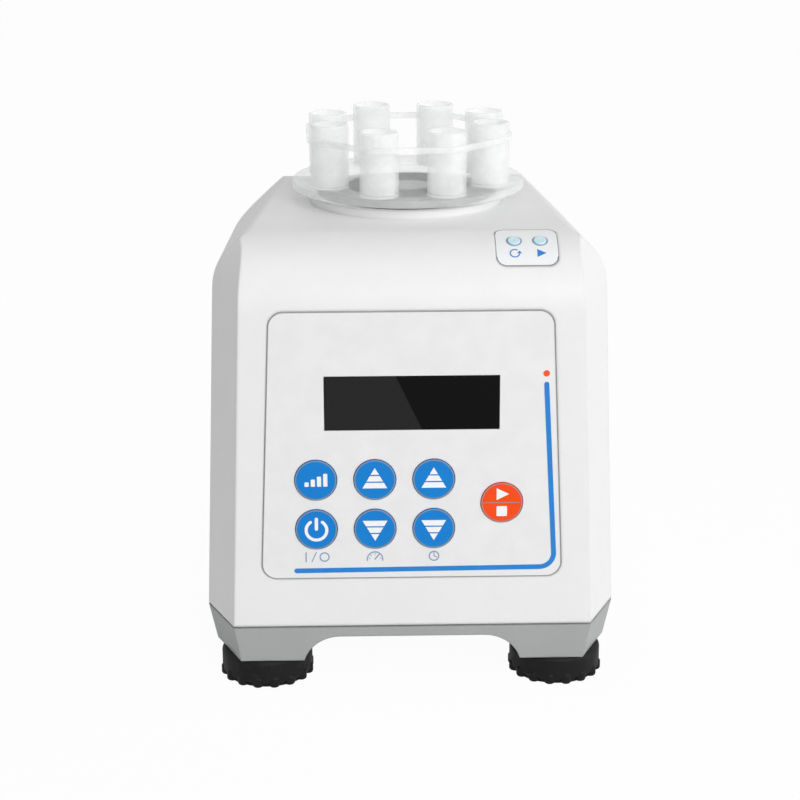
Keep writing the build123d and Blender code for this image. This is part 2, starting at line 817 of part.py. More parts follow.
def stop_washers():
    """Capped washers on the posts that stop the plate at the top."""
    return [tube(x, y, plate_top_z, plate_top_z + washer_height, washer_radius) for x, y in post_places]


def touch_sensor():
    """A forked light gate that sees the flag come down when the head is pressed."""
    top = motor_bottom_z - flag_length + sensor_overlap
    half = sensor_slot / 2 + sensor_wall
    stand = brick(sensor_x - half, sensor_x + half, -sensor_width / 2, sensor_width / 2, tray_top_z, top)
    low = motor_bottom_z - flag_length - press_travel - sensor_floor_gap
    slot_half = sensor_slot / 2
    slot = brick(sensor_x - slot_half, sensor_x + slot_half, -sensor_width, sensor_width, low, top + past)
    return stand - slot


def sensor_flag():
    return tube(sensor_x, 0, motor_bottom_z - flag_length, motor_bottom_z, flag_radius)


def drive_shaft():
    """The motor's shaft, with its crank disc and the eccentric pin in one piece."""
    shaft = tube(0, 0, motor_bottom_z + motor_wall + shaft_end_gap, crank_z, shaft_radius)
    crank = tube(0, 0, crank_z, crank_z + crank_height, crank_radius)
    pin_top = head_bottom_z + head_bearing_height
    return shaft + crank + tube(pin_x, pin_y, crank_z, pin_top, shaft_radius)


def counterweight():
    """A half disc on the far side of the shaft from the eccentric pin, clamped by its hub."""
    low = plate_top_z + counterweight_lift
    high = low + counterweight_height
    reach = counterweight_radius + past
    pin_half = Rot(0, 0, orbit_angle) * brick(0, reach, -reach, reach, low - past, high + past)
    weight = tube(0, 0, low, high, counterweight_radius) - pin_half
    weight = weight + tube(0, 0, low, high, counterweight_hub_radius)
    return weight - tube(0, 0, low - past, high + past, shaft_radius)


def drive_head():
    """The cup that rides on the eccentric pin and carries the rack on its flange."""
    high = rack_bottom_z
    head = tube(pin_x, pin_y, head_bottom_z, high, head_radius)
    head = head + tube(pin_x, pin_y, high - head_flange_height, high, head_flange_radius)
    bearing_top = head_bottom_z + head_bearing_height
    head = head - tube(pin_x, pin_y, head_bottom_z - past, bearing_top, head_bearing_radius)
    head = head - tube(pin_x, pin_y, bearing_top, bearing_top + head_web, shaft_radius + shaft_clearance)
    spigot_floor = high - spigot_length - spigot_end_gap
    return head - tube(pin_x, pin_y, spigot_floor, high + past, spigot_radius + spigot_gap)


def head_bearing():
    inner = shaft_radius + shaft_bore_gap
    return bearing(pin_x, pin_y, head_bottom_z, inner, head_bearing_radius, head_bearing_height)


def holder_places():
    step = 360 / holder_count
    angles = [radians((k + 0.5) * step + rack_turn) for k in range(holder_count)]
    return [(pin_x + holder_circle * cos(a), pin_y + holder_circle * sin(a)) for a in angles]


def rack_plate():
    plate = tube(pin_x, pin_y, rack_bottom_z, rack_top_z, rack_radius)
    plate = fillet(plate.edges().filter_by(GeomType.CIRCLE), rack_edge)
    for x, y in holder_places():
        plate = plate - tube(x, y, rack_top_z - holder_seat, rack_top_z + past, holder_radius)
    return plate


def rack_spigot():
    """The push fit plug under the rack that seats in the drive head."""
    plug = tube(pin_x, pin_y, rack_bottom_z - spigot_length, rack_bottom_z, spigot_radius)
    return chamfer(plug.edges().group_by(Axis.Z)[0], spigot_chamfer)


def tube_holder(x, y):
    low = rack_top_z - holder_seat
    high = rack_top_z + holder_height
    cup = tube(x, y, low, high, holder_radius) - tube(x, y, rack_top_z, high + past, holder_bore)
    lip = cup.edges().group_by(Axis.Z)[-1]
    return fillet(lip, holder_lip)


def rack_hoop():
    """A thin band that runs straight from holder to holder, around the outside of them all."""
    low = rack_top_z + hoop_rise - hoop_height / 2
    round_centres = make_face(Polyline(*holder_places(), close=True))
    band = offset(round_centres, holder_radius + hoop_wall) - offset(round_centres, holder_radius)
    return extrude(Pos(0, 0, low) * band, amount=hoop_height)


def power_inlet():
    """A three pin appliance inlet: a flange in the rear pocket and a body behind it."""
    y = inlet_seat_y
    seat = Plane(origin=(0, y, inlet_z), x_dir=(-1, 0, 0), z_dir=(0, 1, 0))
    flange = RectangleRounded(inlet_flange_width, inlet_flange_height, inlet_flange_corner)
    inlet = extrude(seat * flange, amount=inlet_flange_thickness)
    half_x, half_z = inlet_body_width / 2, inlet_body_height / 2
    back = y - inlet_body_depth
    inlet = inlet + brick(-half_x, half_x, back, y + past, inlet_z - half_z, inlet_z + half_z)
    half_x, half_z = inlet_cavity_width / 2, inlet_cavity_height / 2
    low_z, high_z = inlet_z - half_z, inlet_z + half_z
    inlet = inlet - brick(-half_x, half_x, inlet_floor_y, y + inlet_recess, low_z, high_z)
    for x in inlet_screw_xs:
        inlet = inlet - level(x, inlet_z, y - past, y + inlet_recess, m3_shank + screw_clearance)
    for x, z in inlet_pin_places():
        inlet = inlet - inlet_pin(x, z)
    return inlet


def inlet_pin_places():
    low = inlet_z - inlet_pin_drop
    return [(-inlet_pin_spacing, low), (inlet_pin_spacing, low), (0, inlet_z + inlet_earth_rise)]


def inlet_pin(x, z):
    half_x, half_z = inlet_pin_width / 2, inlet_pin_height / 2
    low_y = inlet_seat_y - inlet_body_depth - inlet_pin_tail
    return brick(x - half_x, x + half_x, low_y, inlet_floor_y + inlet_pin_depth, z - half_z, z + half_z)


def inlet_pins():
    return [inlet_pin(x, z) for x, z in inlet_pin_places()]


def inlet_screws():
    """Screws through the inlet's flange, each with its nut behind the pocket's floor."""
    seat = inlet_seat_y + inlet_flange_thickness
    inside = inlet_seat_y - case_wall
    parts = []
    for x in inlet_screw_xs:
        shank = level(x, inlet_z, inside - nut_height - screw_end_gap, seat + screw_end_gap, m3_shank)
        head = level(x, inlet_z, seat, seat + m3_head_height, m3_head_radius)
        parts.append(shank + head + level(x, inlet_z, inside - nut_height, inside, m3_head_radius))
    return parts


def power_board():
    """The supply board on the rear wall's bosses, with its transformer and capacitor."""
    front = power_board_y - board_thickness
    half = power_board_half_width
    board = brick(-half, half, front, power_board_y, power_board_bottom_z, power_board_top_z)
    for x, z in power_boss_places:
        board = board - level(x, z, front - past, power_board_y + past, m3_shank + screw_clearance)
    width, depth, height = transformer_size
    middle_z = (power_board_bottom_z + power_board_top_z) / 2
    low, high = middle_z - height / 2, middle_z + height / 2
    left, right = transformer_x - width / 2, transformer_x + width / 2
    board = board + brick(left, right, front - depth, front, low, high)
    return board + level(capacitor_x, middle_z, front - capacitor_length, front, capacitor_radius)


def save(shape, name):
    if isinstance(shape, list):
        shape = Compound(children=[s.solid() for s in shape])
    export_step(shape, f"parts/{name}.step")


def main():
    os.makedirs("parts", exist_ok=True)
    for name, (x, y) in zip(foot_names, foot_places):
        save(foot(x, y), name)
    for name, (x, y) in key_places.items():
        save(key(x, y), name)
    for k, (x, y) in enumerate(holder_places(), 1):
        save(tube_holder(x, y), f"tube_holder_{k}")
    save(lamp(-1), "lamp_left")
    save(lamp(1), "lamp_right")
    for piece in (
        upper_housing, base_tray, foot_screws, case_screws, front_panel, display_window, display_module,
        control_board, board_screws, key_switches, lamp_window, lamp_board, neck_seal, motor_can,
        motor_end_cap, motor_plate, motor_screws, lower_bearing, upper_bearing, stator, rotor, guide_posts,
        post_screws, rubber_mounts, stop_washers, touch_sensor, sensor_flag, drive_shaft, counterweight,
        drive_head, head_bearing, rack_plate, rack_spigot, rack_hoop, power_inlet, inlet_pins, inlet_screws,
        power_board,
    ):
        save(piece(), piece.__name__)


main()
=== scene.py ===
from math import atan2, cos, degrees, pi, radians, sin, tan

import bmesh
import bpy
from mathutils import Matrix, Vector
from mathutils.geometry import tessellate_polygon


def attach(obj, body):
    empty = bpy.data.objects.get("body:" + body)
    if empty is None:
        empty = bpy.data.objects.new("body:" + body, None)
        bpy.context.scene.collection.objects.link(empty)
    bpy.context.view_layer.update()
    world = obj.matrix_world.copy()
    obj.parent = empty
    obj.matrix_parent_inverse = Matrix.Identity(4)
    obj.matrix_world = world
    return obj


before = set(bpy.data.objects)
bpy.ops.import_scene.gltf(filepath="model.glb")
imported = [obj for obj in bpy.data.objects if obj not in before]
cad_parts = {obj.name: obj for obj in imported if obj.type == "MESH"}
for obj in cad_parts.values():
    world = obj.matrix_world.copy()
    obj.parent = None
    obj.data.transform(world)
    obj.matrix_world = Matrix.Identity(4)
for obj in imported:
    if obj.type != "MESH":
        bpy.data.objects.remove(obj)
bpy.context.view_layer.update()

# The camera stands in front of the mixer and looks a little down on it.
# Its place comes from the photograph: where the keys, the rack and the feet lie in it.
mm = 0.001
camera_turn, camera_pitch, camera_roll = radians(-1.26), radians(17.733), radians(-0.187)
camera_distance = 720.14 * mm
camera_target = Vector((-2.21 * mm, 0, 77.21 * mm))
camera_focal_px, photo_px, sensor_mm = 2027.7, 800, 36.0

level = cos(camera_pitch)
back = Vector((sin(camera_turn) * level, -cos(camera_turn) * level, sin(camera_pitch)))
camera_data = bpy.data.cameras.new("camera")
camera_data.sensor_width = sensor_mm
camera_data.lens = camera_focal_px / photo_px * sensor_mm
camera_data.clip_start, camera_data.clip_end = 0.01, 20
camera = bpy.data.objects.new("camera", camera_data)
bpy.context.scene.collection.objects.link(camera)
camera.matrix_world = (
    Matrix.Translation(camera_target + back * camera_distance)
    @ back.to_track_quat("Z", "Y").to_matrix().to_4x4()
    @ Matrix.Rotation(camera_roll, 4, "Z")
)
bpy.context.scene.camera = camera
bpy.context.scene.view_settings.view_transform = "Standard"


# The base tray is grey moulded plastic. Its four legs stand over the feet, with arches between them.
# The white housing sits on it, and the gap between them shows as a thin dark line.
class Socket:
    """Shader maths reads as sums: this wraps a node's output, and each operator adds its own node."""

    def __init__(self, tree, link):
        self.tree, self.link = tree, link

    def node(self, kind, settings=None, output=0, **inputs):
        """Any node. Its settings go first, then its sockets, by name or by number as n0, n1 and so on."""
        made = self.tree.nodes.new(kind)
        for key, value in (settings or {}).items():
            setattr(made, key, value)
        for key, value in inputs.items():
            numbered = key[0] == "n" and key[1:].isdigit()
            socket = made.inputs[int(key[1:]) if numbered else key.replace("_", " ")]
            if isinstance(value, Socket):
                self.tree.links.new(value.link, socket)
            else:
                socket.default_value = value
        return Socket(self.tree, made.outputs[output])

    def maths(self, operation, first, second):
        return self.node("ShaderNodeMath", {"operation": operation}, n0=first, n1=second)

    def __add__(self, other):
        return self.maths("ADD", self, other)

    def __sub__(self, other):
        return self.maths("SUBTRACT", self, other)

    def __rsub__(self, other):
        return self.maths("SUBTRACT", other, self)

    def __mul__(self, other):
        return self.maths("MULTIPLY", self, other)

    __radd__, __rmul__ = __add__, __mul__

    def step(self, low, high):
        """0 under low, 1 over high, smooth between."""
        smooth = {"interpolation_type": "SMOOTHSTEP"}
        return self.node("ShaderNodeMapRange", smooth, Value=self, From_Min=low, From_Max=high)

    def mix(self, low, high):
        """Colour low where this is 0 and high where it is 1."""
        return self.node("ShaderNodeMix", {"data_type": "RGBA"}, 2, n0=self, n6=(*low, 1), n7=(*high, 1))


def srgb(text):
    """A colour written as it shows, such as 007fd2, as linear numbers."""
    parts = [int(text[i:i + 2], 16) / 255 for i in (0, 2, 4)]
    return tuple(c / 12.92 if c <= 0.04045 else ((c + 0.055) / 1.055) ** 2.4 for c in parts)


def material(name, **constants):
    """A new material: its Principled shader's constants go straight on its sockets."""
    made = bpy.data.materials.new(name)
    made.use_nodes = True
    shader = made.node_tree.nodes["Principled BSDF"]
    for key, value in constants.items():
        shader.inputs[key.replace("_", " ")].default_value = (*value, 1) if key.endswith("Color") else value
    return made, shader, Socket(made.node_tree, None)


def place(tree):
    """The point on the object, in millimetres, as a vector."""
    at = tree.node("ShaderNodeTexCoord", output="Object")
    return tree.node("ShaderNodeVectorMath", {"operation": "SCALE"}, n0=at, Scale=1 / mm)


def noise(tree, size, detail=3.0, rough=0.55, stretch=None):
    """Noise of grains of that size in millimetres, 0 to 1."""
    at = place(tree)
    if stretch:
        at = tree.node("ShaderNodeVectorMath", {"operation": "MULTIPLY"}, n0=at, n1=stretch)
    return tree.node("ShaderNodeTexNoise", Vector=at, Scale=1 / size, Detail=detail, Roughness=rough)


def wire(shader, **links):
    """Links what varies over the surface to the shader's sockets."""
    for key, value in links.items():
        shader.id_data.links.new(value.link, shader.inputs[key.replace("_", " ")])


def relief(tree, height, depth_mm, soft_edge_mm=0.0):
    """A bump of that depth; soft_edge rounds the shading of sharp corners by that radius."""
    bump = {"Height": height, "Distance": depth_mm * mm, "Strength": 1.0}
    if soft_edge_mm:
        bump["Normal"] = tree.node("ShaderNodeBevel", {"samples": 4}, Radius=soft_edge_mm * mm)
    return tree.node("ShaderNodeBump", **bump)


def clad(made, *nodes):
    """Gives CAD nodes their material."""
    for node in nodes:
        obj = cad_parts[node]
        obj.data.materials.clear()
        obj.data.materials.append(made)


def lab_plastic(name, shade, grain=0.35, depth=0.012, roughness=0.42, spread=0.05, soft_edge=0.8):
    """Moulded plastic: a fine spark-eroded grain, faint flow mottling and a little wear in the gloss."""
    made, shader, tree = material(name)
    mottle = noise(tree, size=14, detail=4)
    speck = noise(tree, size=1.7, detail=2)
    light = tuple(min(1, c * (1 + spread)) for c in shade)
    dark = tuple(c * (1 - spread) for c in shade)
    wear = 0.14
    wire(
        shader,
        Base_Color=(mottle * 0.7 + speck * 0.3).step(0.3, 0.7).mix(dark, light),
        Roughness=roughness - wear / 2 + noise(tree, size=6, detail=5) * wear,
        Normal=relief(tree, noise(tree, grain, detail=2, rough=0.6), depth, soft_edge),
    )
    return made


tray_grey = lab_plastic("tray_grey", srgb("a9acaa"), grain=0.3, depth=0.015, roughness=0.5, spread=0.03)
clad(tray_grey, "base_tray")

# The upper housing is one white moulding with cut corners, rounded shoulders and the neck ring.
# Its gloss is low, and its grain only shows from close by.
housing_white = lab_plastic(
    "housing_white", srgb("f0f0f0"), grain=0.4, depth=0.008, roughness=0.4, spread=0.012, soft_edge=1.5
)
clad(housing_white, "upper_housing")

# The feet are black rubber, moulded with a ring of bumps and screwed up into the tray's legs.
# They carry faint patches of dust.
made, shader, tree = material("foot_rubber", Specular_IOR_Level=0.22)
dust = noise(tree, size=3.5, detail=5).step(0.52, 0.78) * 0.35
wire(
    shader,
    Base_Color=dust.mix(srgb("0c0c0d"), srgb("303033")),
    Roughness=0.46 + noise(tree, size=5, detail=4) * 0.2,
    Normal=relief(tree, noise(tree, size=0.5), 0.03, 0.5),
)
clad(made, "foot_front_left", "foot_front_right", "foot_rear_left", "foot_rear_right")

# The screws are zinc plated steel with turned heads.
# They hold the feet, the housing, the boards, the motor, its guide posts and the inlet.
made, shader, tree = material("screw_steel", Metallic=1.0)
scratch = noise(tree, size=0.8, detail=4, stretch=(1, 1, 6))
wire(
    shader,
    Base_Color=scratch.mix(srgb("8f8f92"), srgb("c9c9cc")),
    Roughness=0.25 + scratch * 0.25,
    Normal=relief(tree, scratch, 0.01, 0.2),
)
clad(made, "foot_screws", "case_screws", "board_screws", "motor_screws", "post_screws", "inlet_screws")

# The neck seal is a soft black rubber ring that lies on the neck's ledge.
# The rubber mounts are rings of the same rubber on the guide posts, under the motor's plate.
made, shader, tree = material("seal_rubber", Specular_IOR_Level=0.3)
bloom = noise(tree, size=2.5, detail=4)
wire(
    shader,
    Base_Color=bloom.step(0.4, 0.8).mix(srgb("2a2a2c"), srgb("424245")),
    Roughness=0.6 + bloom * 0.2,
    Normal=relief(tree, noise(tree, size=0.4), 0.02, 0.3),
)
clad(made, "neck_seal", "rubber_mounts")

# The front panel is a printed film label on the leaning front face, in a shallow recess.
# Its print is a thin grey outline, a blue line along two sides and one orange dot.
datum_z, front_y, lean = 22.0, -73.018, 0.02
face_up = Vector((0, lean, 1)).normalized()
face_out = Vector((0, -1, lean)).normalized()
panel_front = 0.2
panel_bottom, panel_top, panel_half_bottom, panel_half_top = 17.6, 107.2, 49.0, 45.1
panel_shift, panel_corner = -0.1, 5.0
ink, outline_width = 0.05, 0.3
line_half, line_bend = 0.82, 4.6
line_top, line_right, line_bottom = (42.9, 82.9), 46.1, 20.9
line_end = (-37.6, 20.4)
dot_x, dot_y, dot_radius = 42.8, 86.5, 1.05


def face_point(x, y, height):
    """A place on the front face: x across, y up it from the datum, height out of it, in millimetres."""
    return (Vector((x, front_y, datum_z)) + face_up * y + face_out * height) * mm


def arc(cx, cy, radius, start, end, count=24):
    """Points along an arc, its ends in degrees."""
    angles = [radians(start + (end - start) * i / count) for i in range(count + 1)]
    return [(cx + radius * cos(angle), cy + radius * sin(angle)) for angle in angles]


def ring(cx, cy, radius, count=64):
    return arc(cx, cy, radius, 0, 360, count)[:-1]


def rounded(corners, radius, count=8):
    """A closed outline with round corners: the corners run anticlockwise."""
    points = []
    for i, corner in enumerate(corners):
        here = Vector(corner)
        before = (Vector(corners[i - 1]) - here).normalized()
        after = (Vector(corners[(i + 1) % len(corners)]) - here).normalized()
        half = before.angle(after) / 2
        centre = here + (before + after).normalized() * (radius / sin(half))
        first = here + before * (radius / tan(half)) - centre
        last = here + after * (radius / tan(half)) - centre
        start = atan2(first.y, first.x)
        sweep = (atan2(last.y, last.x) - start + pi) % (2 * pi) - pi
        for k in range(count + 1):
            angle = start + sweep * k / count
            points.append((centre.x + radius * cos(angle), centre.y + radius * sin(angle)))
    return points


def shrunk(points, by):
    """The same closed outline moved inwards; the points run anticlockwise."""
    inner = []
    for i, point in enumerate(points):
        here = Vector(point)
        ahead = Vector(points[(i + 1) % len(points)]) - here
        behind = here - Vector(points[i - 1])
        side = Vector((-ahead.y, ahead.x)).normalized() + Vector((-behind.y, behind.x)).normalized()
        inner.append(tuple(here + side.normalized() * by))
    return inner


def stroke(points, half, caps=10):
    """The outline of a line of even width with round ends."""
    left, right = [], []
    for i, point in enumerate(points):
        here = Vector(point)
        ahead = Vector(points[min(i + 1, len(points) - 1)]) - Vector(points[max(i - 1, 0)])
        side = Vector((-ahead.y, ahead.x)).normalized() * half
        left.append(tuple(here + side))
        right.append(tuple(here - side))
    first = Vector(points[1]) - Vector(points[0])
    last = Vector(points[-1]) - Vector(points[-2])
    turn_end = degrees(atan2(last.y, last.x))
    turn_start = degrees(atan2(first.y, first.x))
    end_cap = arc(*points[-1], half, turn_end - 90, turn_end + 90, caps)[1:-1]
    start_cap = arc(*points[0], half, turn_start + 90, turn_start + 270, caps)[1:-1]
    return right + end_cap + left[::-1] + start_cap


def printed(name, shapes, made, body, slot, low, high, at=face_point):
    """A thin closed plate of ink for each shape; a shape is one outline, or an outline and its holes."""
    mesh = bmesh.new()
    for shape in shapes:
        loops = shape if isinstance(shape[0], list) else [shape]
        flat = [point for loop in loops for point in loop]
        lower = [mesh.verts.new(at(x, y, low)) for x, y in flat]
        upper = [mesh.verts.new(at(x, y, high)) for x, y in flat]
        for tri in tessellate_polygon([[Vector((x, y, 0)) for x, y in loop] for loop in loops]):
            mesh.faces.new([upper[i] for i in tri])
            mesh.faces.new([lower[i] for i in reversed(tri)])
        start = 0
        for loop in loops:
            count = len(loop)
            for i in range(count):
                a, b = start + i, start + (i + 1) % count
                mesh.faces.new((lower[a], lower[b], upper[b], upper[a]))
            start += count
    bmesh.ops.recalc_face_normals(mesh, faces=mesh.faces)
    data = bpy.data.meshes.new(name)
    mesh.to_mesh(data)
    mesh.free()
    data.materials.append(made)
    piece = bpy.data.objects.new(name, data)
    bpy.context.scene.collection.objects.link(piece)
    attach(piece, body)


def printing_ink(name, shade, roughness=0.4):
    """Screen ink on film: nearly flat, with the faint unevenness of the squeegee."""
    made, shader, tree = material(name)
    coat = noise(tree, size=2.2, detail=4)
    light = tuple(min(1, c * 1.06 + 0.004) for c in shade)
    wire(
        shader,
        Base_Color=coat.step(0.35, 0.7).mix(shade, light),
        Roughness=roughness + coat * 0.12,
        Normal=relief(tree, noise(tree, size=0.25, detail=2), 0.004),
    )
    return made


made, shader, tree = material("panel_film", Coat_Weight=0.08, Coat_Roughness=0.3)
weave = noise(tree, size=9, detail=4)
wire(
    shader,
    Base_Color=weave.step(0.3, 0.75).mix(srgb("ececed"), srgb("f1f1f1")),
    Roughness=0.4 + weave * 0.12,
    Normal=relief(tree, noise(tree, size=0.3, detail=2), 0.006, 0.3),
)
clad(made, "front_panel")

ink_blue = printing_ink("ink_blue", srgb("007fd2"))
ink_orange = printing_ink("ink_orange", srgb("fa4b0a"))
ink_grey = printing_ink("ink_grey", srgb("8f9193"))
panel_ink = (panel_front - ink, panel_front + ink)
panel_edge = rounded(
    [
        (panel_shift - panel_half_bottom, panel_bottom), (panel_shift + panel_half_bottom, panel_bottom),
        (panel_shift + panel_half_top, panel_top), (panel_shift - panel_half_top, panel_top),
    ],
    panel_corner, 12,
)
outline = [panel_edge, shrunk(panel_edge, outline_width)]
printed("panel_outline", [outline], ink_grey, "case", "panel_white", *panel_ink)

bend = arc(line_right - line_bend, line_bottom + line_bend, line_bend, 0, -90, 14)
blue_line = stroke([line_top, *bend, line_end], line_half)
printed("blue_line", [blue_line], ink_blue, "case", "key_blue", *panel_ink)
printed("orange_dot", [ring(dot_x, dot_y, dot_radius)], ink_orange, "case", "key_orange", *panel_ink)

# Small pictures stand under the lower keys: on and off, a speed dial and a clock face.
# They are printed on the film in a pale ink. Each is drawn round its own middle.
picture_y, thin, thinner = 25.1, 0.2, 0.16
on_off_x, dial_x, clock_x = -31.3, -12.1, 7.1
dial_middle, dial_radius, tick_outer, tick_inner, tick_half = -0.9, 2.5, 2.0, 1.6, 0.12
ink_label = printing_ink("ink_label", srgb("8a9ab8"))


def moved(shape, x, y):
    """A shape, or each of its outlines, shifted by x and y."""
    if isinstance(shape[0], list):
        return [moved(loop, x, y) for loop in shape]
    return [(px + x, py + y) for px, py in shape]


on_off = [
    stroke([(-3.2, -1.5), (-3.2, 1.5)], thin),
    stroke([(-1.3, -1.6), (0.1, 1.6)], thinner),
    [ring(2.8, 0, 1.65), ring(2.8, 0, 1.25)[::-1]],
]
dial = [
    stroke(arc(0, dial_middle, dial_radius, -10, 190), thin),
    stroke([(0, dial_middle), (1.3, 0.7)], thin),
]
for angle in (10, 90, 135, 170):
    across, up = cos(radians(angle)), sin(radians(angle))
    tick = [(across * reach, dial_middle + up * reach) for reach in (tick_outer, tick_inner)]
    dial.append(stroke(tick, tick_half))
clock = [
    [ring(0, 0, 1.75), ring(0, 0, 1.35)[::-1]],
    stroke([(0, 1.1), (0, 0), (0.9, -0.4)], thinner),
]
rows = ((on_off_x, on_off), (dial_x, dial), (clock_x, clock))
pictures = [moved(shape, x, picture_y) for x, picture in rows for shape in picture]
printed("label_pictures", pictures, ink_label, "case", "panel_white", *panel_ink)

# The display window is a plate of smoked acrylic over the display, which is dark.
# A painted reflection crosses its left part: a lighter band with a sloping edge.
painted_glare_x, painted_glare_z, painted_glare_slope, painted_glare_blur = -0.9, datum_z + 77.0, 0.472, 0.15
made, shader, tree = material("window_black", Specular_IOR_Level=0.1)
side = tree.node("ShaderNodeSeparateXYZ", output="X", n0=place(tree))
tall = tree.node("ShaderNodeSeparateXYZ", output="Z", n0=place(tree))
# The window is painted lighter, as a reflection, on the left of this sloping edge.
painted_glare_edge = painted_glare_x - side - (tall - painted_glare_z) * painted_glare_slope
wire(
    shader,
    Base_Color=painted_glare_edge.step(-painted_glare_blur, painted_glare_blur).mix(srgb("050505"), srgb("242424")),
    Roughness=0.12 + noise(tree, size=8, detail=4) * 0.08,
    Normal=relief(tree, noise(tree, size=3), 0.002, 0.4),
)
clad(made, "display_window")

# Seven round keys are domed membrane caps: six blue, one orange, each with a thin grey rim.
# Their white signs are printed on the caps and travel with them. Each is drawn round its key's middle.
key_radius, key_front = 6.75, 0.5
left_column, middle_column, right_column = -31.0, -12.0, 7.0
upper_row, lower_row = 51.5, 34.7
start_x, start_y, parting_reach, parting_half = 29.0, 43.3, 5.8, 0.12
rim_inset, rim_width, rim_depth, rim_proud = 0.12, 0.3, 0.12, 0.03
key_ink = (key_front - ink, key_front + ink)
ink_white = printing_ink("ink_white", srgb("f6f8fa"), 0.35)


def membrane(name, shade):
    """A cap of printed film over its switch, a little glossier than the panel."""
    made, shader, tree = material(name, Specular_IOR_Level=0.25)
    print_tone = noise(tree, size=5)
    light = tuple(min(1, c * 1.05) for c in shade)
    wire(
        shader,
        Base_Color=print_tone.step(0.3, 0.7).mix(shade, light),
        Roughness=0.36 + print_tone * 0.14,
        Normal=relief(tree, noise(tree, size=0.3, detail=2), 0.006, 0.35),
    )
    return made


def level_bars():
    """Four bars, each taller than the last."""
    left, low, width, pitch, first_top, rise = -3.6, -2.1, 1.35, 2.0, -0.6, 0.95
    bars = []
    for k in range(4):
        x, top = left + k * pitch, first_top + k * rise
        bars.append(rounded([(x, low), (x + width, low), (x + width, top), (x, top)], 0.25, 3))
    return bars


def power_sign():
    """A ring that is open at the top, with a stroke in the opening."""
    return [stroke(arc(0, -0.2, 3.35, 125, 415, 40), 0.5), stroke([(0, 3.6), (0, 0.2)], 0.55)]


def arrow_bars(up):
    """An arrow head cut into three bars: it points up where up is 1, and down where it is -1."""
    half_base, height, lift = 4.0, 6.9, 0.6
    foot = up * (lift - height / 2)
    bars = []
    for low, high in ((0.0, 0.27), (0.335, 0.6), (0.665, 1.0)):
        wide, narrow = half_base * (1 - low), half_base * (1 - high)
        y0, y1 = foot + up * height * low, foot + up * height * high
        bar = [(-wide, y0), (wide, y0), (narrow, y1)]
        if narrow:
            bar.append((-narrow, y1))
        bars.append(bar[::up])
    return bars


def start_and_stop():
    """A triangle over a square."""
    square = rounded([(-1.7, -4.6), (1.7, -4.6), (1.7, -1.2), (-1.7, -1.2)], 0.3, 4)
    return [[(-1.7, 0.9), (2.3, 2.9), (-1.7, 4.9)], square]


caps = {
    "key_blue": membrane("key_blue", srgb("007fd2")),
    "key_orange": membrane("key_orange", srgb("fa4b0a")),
}
keys = {
    "mode_key": (left_column, upper_row, level_bars()),
    "power_key": (left_column, lower_row, power_sign()),
    "speed_up_key": (middle_column, upper_row, arrow_bars(1)),
    "time_up_key": (right_column, upper_row, arrow_bars(1)),
    "speed_down_key": (middle_column, lower_row, arrow_bars(-1)),
    "time_down_key": (right_column, lower_row, arrow_bars(-1)),
    "start_stop_key": (start_x, start_y, start_and_stop()),
}
for key, (x, y, sign) in keys.items():
    slot = "key_orange" if key == "start_stop_key" else "key_blue"
    clad(caps[slot], key)
    printed(f"{key}_sign", [moved(shape, x, y) for shape in sign], ink_white, key, slot, *key_ink)
    outer = key_radius - rim_inset
    rim = [ring(x, y, outer), ring(x, y, outer - rim_width)[::-1]]
    printed(f"{key}_rim", [rim], ink_grey, key, slot, key_front - rim_depth, key_front + rim_proud)
parting = stroke([(start_x - parting_reach, start_y), (start_x + parting_reach, start_y)], parting_half)
printed("start_stop_line", [parting], ink_grey, "start_stop_key", "key_orange", *key_ink)

# The lamp window is a small white film plate on the front shoulder, with a printed edge.
# Two flat clear lamps look through it, each in a grey ring, with a small picture under it.
window_x, window_width, window_arc, window_corner, window_angle = 36.9, 19.6, 18.0, 3.2, 62.5
round_radius, round_y, round_z, window_proud = 23.0, -47.458, 127.0, 0.2
lamp_xs, lamp_angle, ring_radius, ring_width = (32.95, 41.25), 66.0, 2.25, 0.3
picture_drop = 5.6
window_radius = round_radius + window_proud


def shoulder_point(x, along, height):
    """A place on the lamp window: x across, along the round shoulder from its middle, height out of it."""
    angle = radians(window_angle) + along / window_radius
    reach = window_radius + height
    return Vector((x, round_y - reach * cos(angle), round_z + reach * sin(angle))) * mm


plate = lab_plastic(
    "lamp_plate", srgb("f4f5f6"), grain=0.5, depth=0.004, roughness=0.4, spread=0.01, soft_edge=0.3
)
clad(plate, "lamp_window")
half_x, half_arc = window_width / 2, window_arc / 2
window_corners = [
    (window_x - half_x, -half_arc), (window_x + half_x, -half_arc),
    (window_x + half_x, half_arc), (window_x - half_x, half_arc),
]
window_edge = rounded(window_corners, window_corner, 8)
window_print = ("case", "panel_white", -ink, ink, shoulder_point)
printed("lamp_window_outline", [[window_edge, shrunk(window_edge, outline_width)]], ink_grey, *window_print)
lamp_along = radians(lamp_angle - window_angle) * window_radius
lamp_rings = [
    [ring(x, lamp_along, ring_radius + ring_width), ring(x, lamp_along, ring_radius)[::-1]] for x in lamp_xs
]
printed("lamp_rings", lamp_rings, ink_label, *window_print)
round_arrow = [stroke(arc(0, 0, 1.5, 60, 345), thin), [(0.7, -0.1), (2.3, -0.1), (1.5, 1.0)]]
triangle = [[(-1.2, -1.6), (1.7, 0), (-1.2, 1.6)]]
lamp_signs = [
    moved(shape, x, lamp_along - picture_drop)
    for x, sign in zip(lamp_xs, (round_arrow, triangle)) for shape in sign
]
printed("lamp_pictures", lamp_signs, ink_blue, *window_print)

made, shader, tree = material("lamp_lens", Coat_Weight=0.3, Coat_Roughness=0.1)
tint = noise(tree, size=1.6, detail=2)
wire(
    shader,
    Base_Color=tint.mix(srgb("b9e4ef"), srgb("e2f6fa")),
    Roughness=0.2 + tint * 0.1,
    Normal=relief(tree, noise(tree, size=1.2, detail=2), 0.004),
)
clad(made, "lamp_left", "lamp_right")

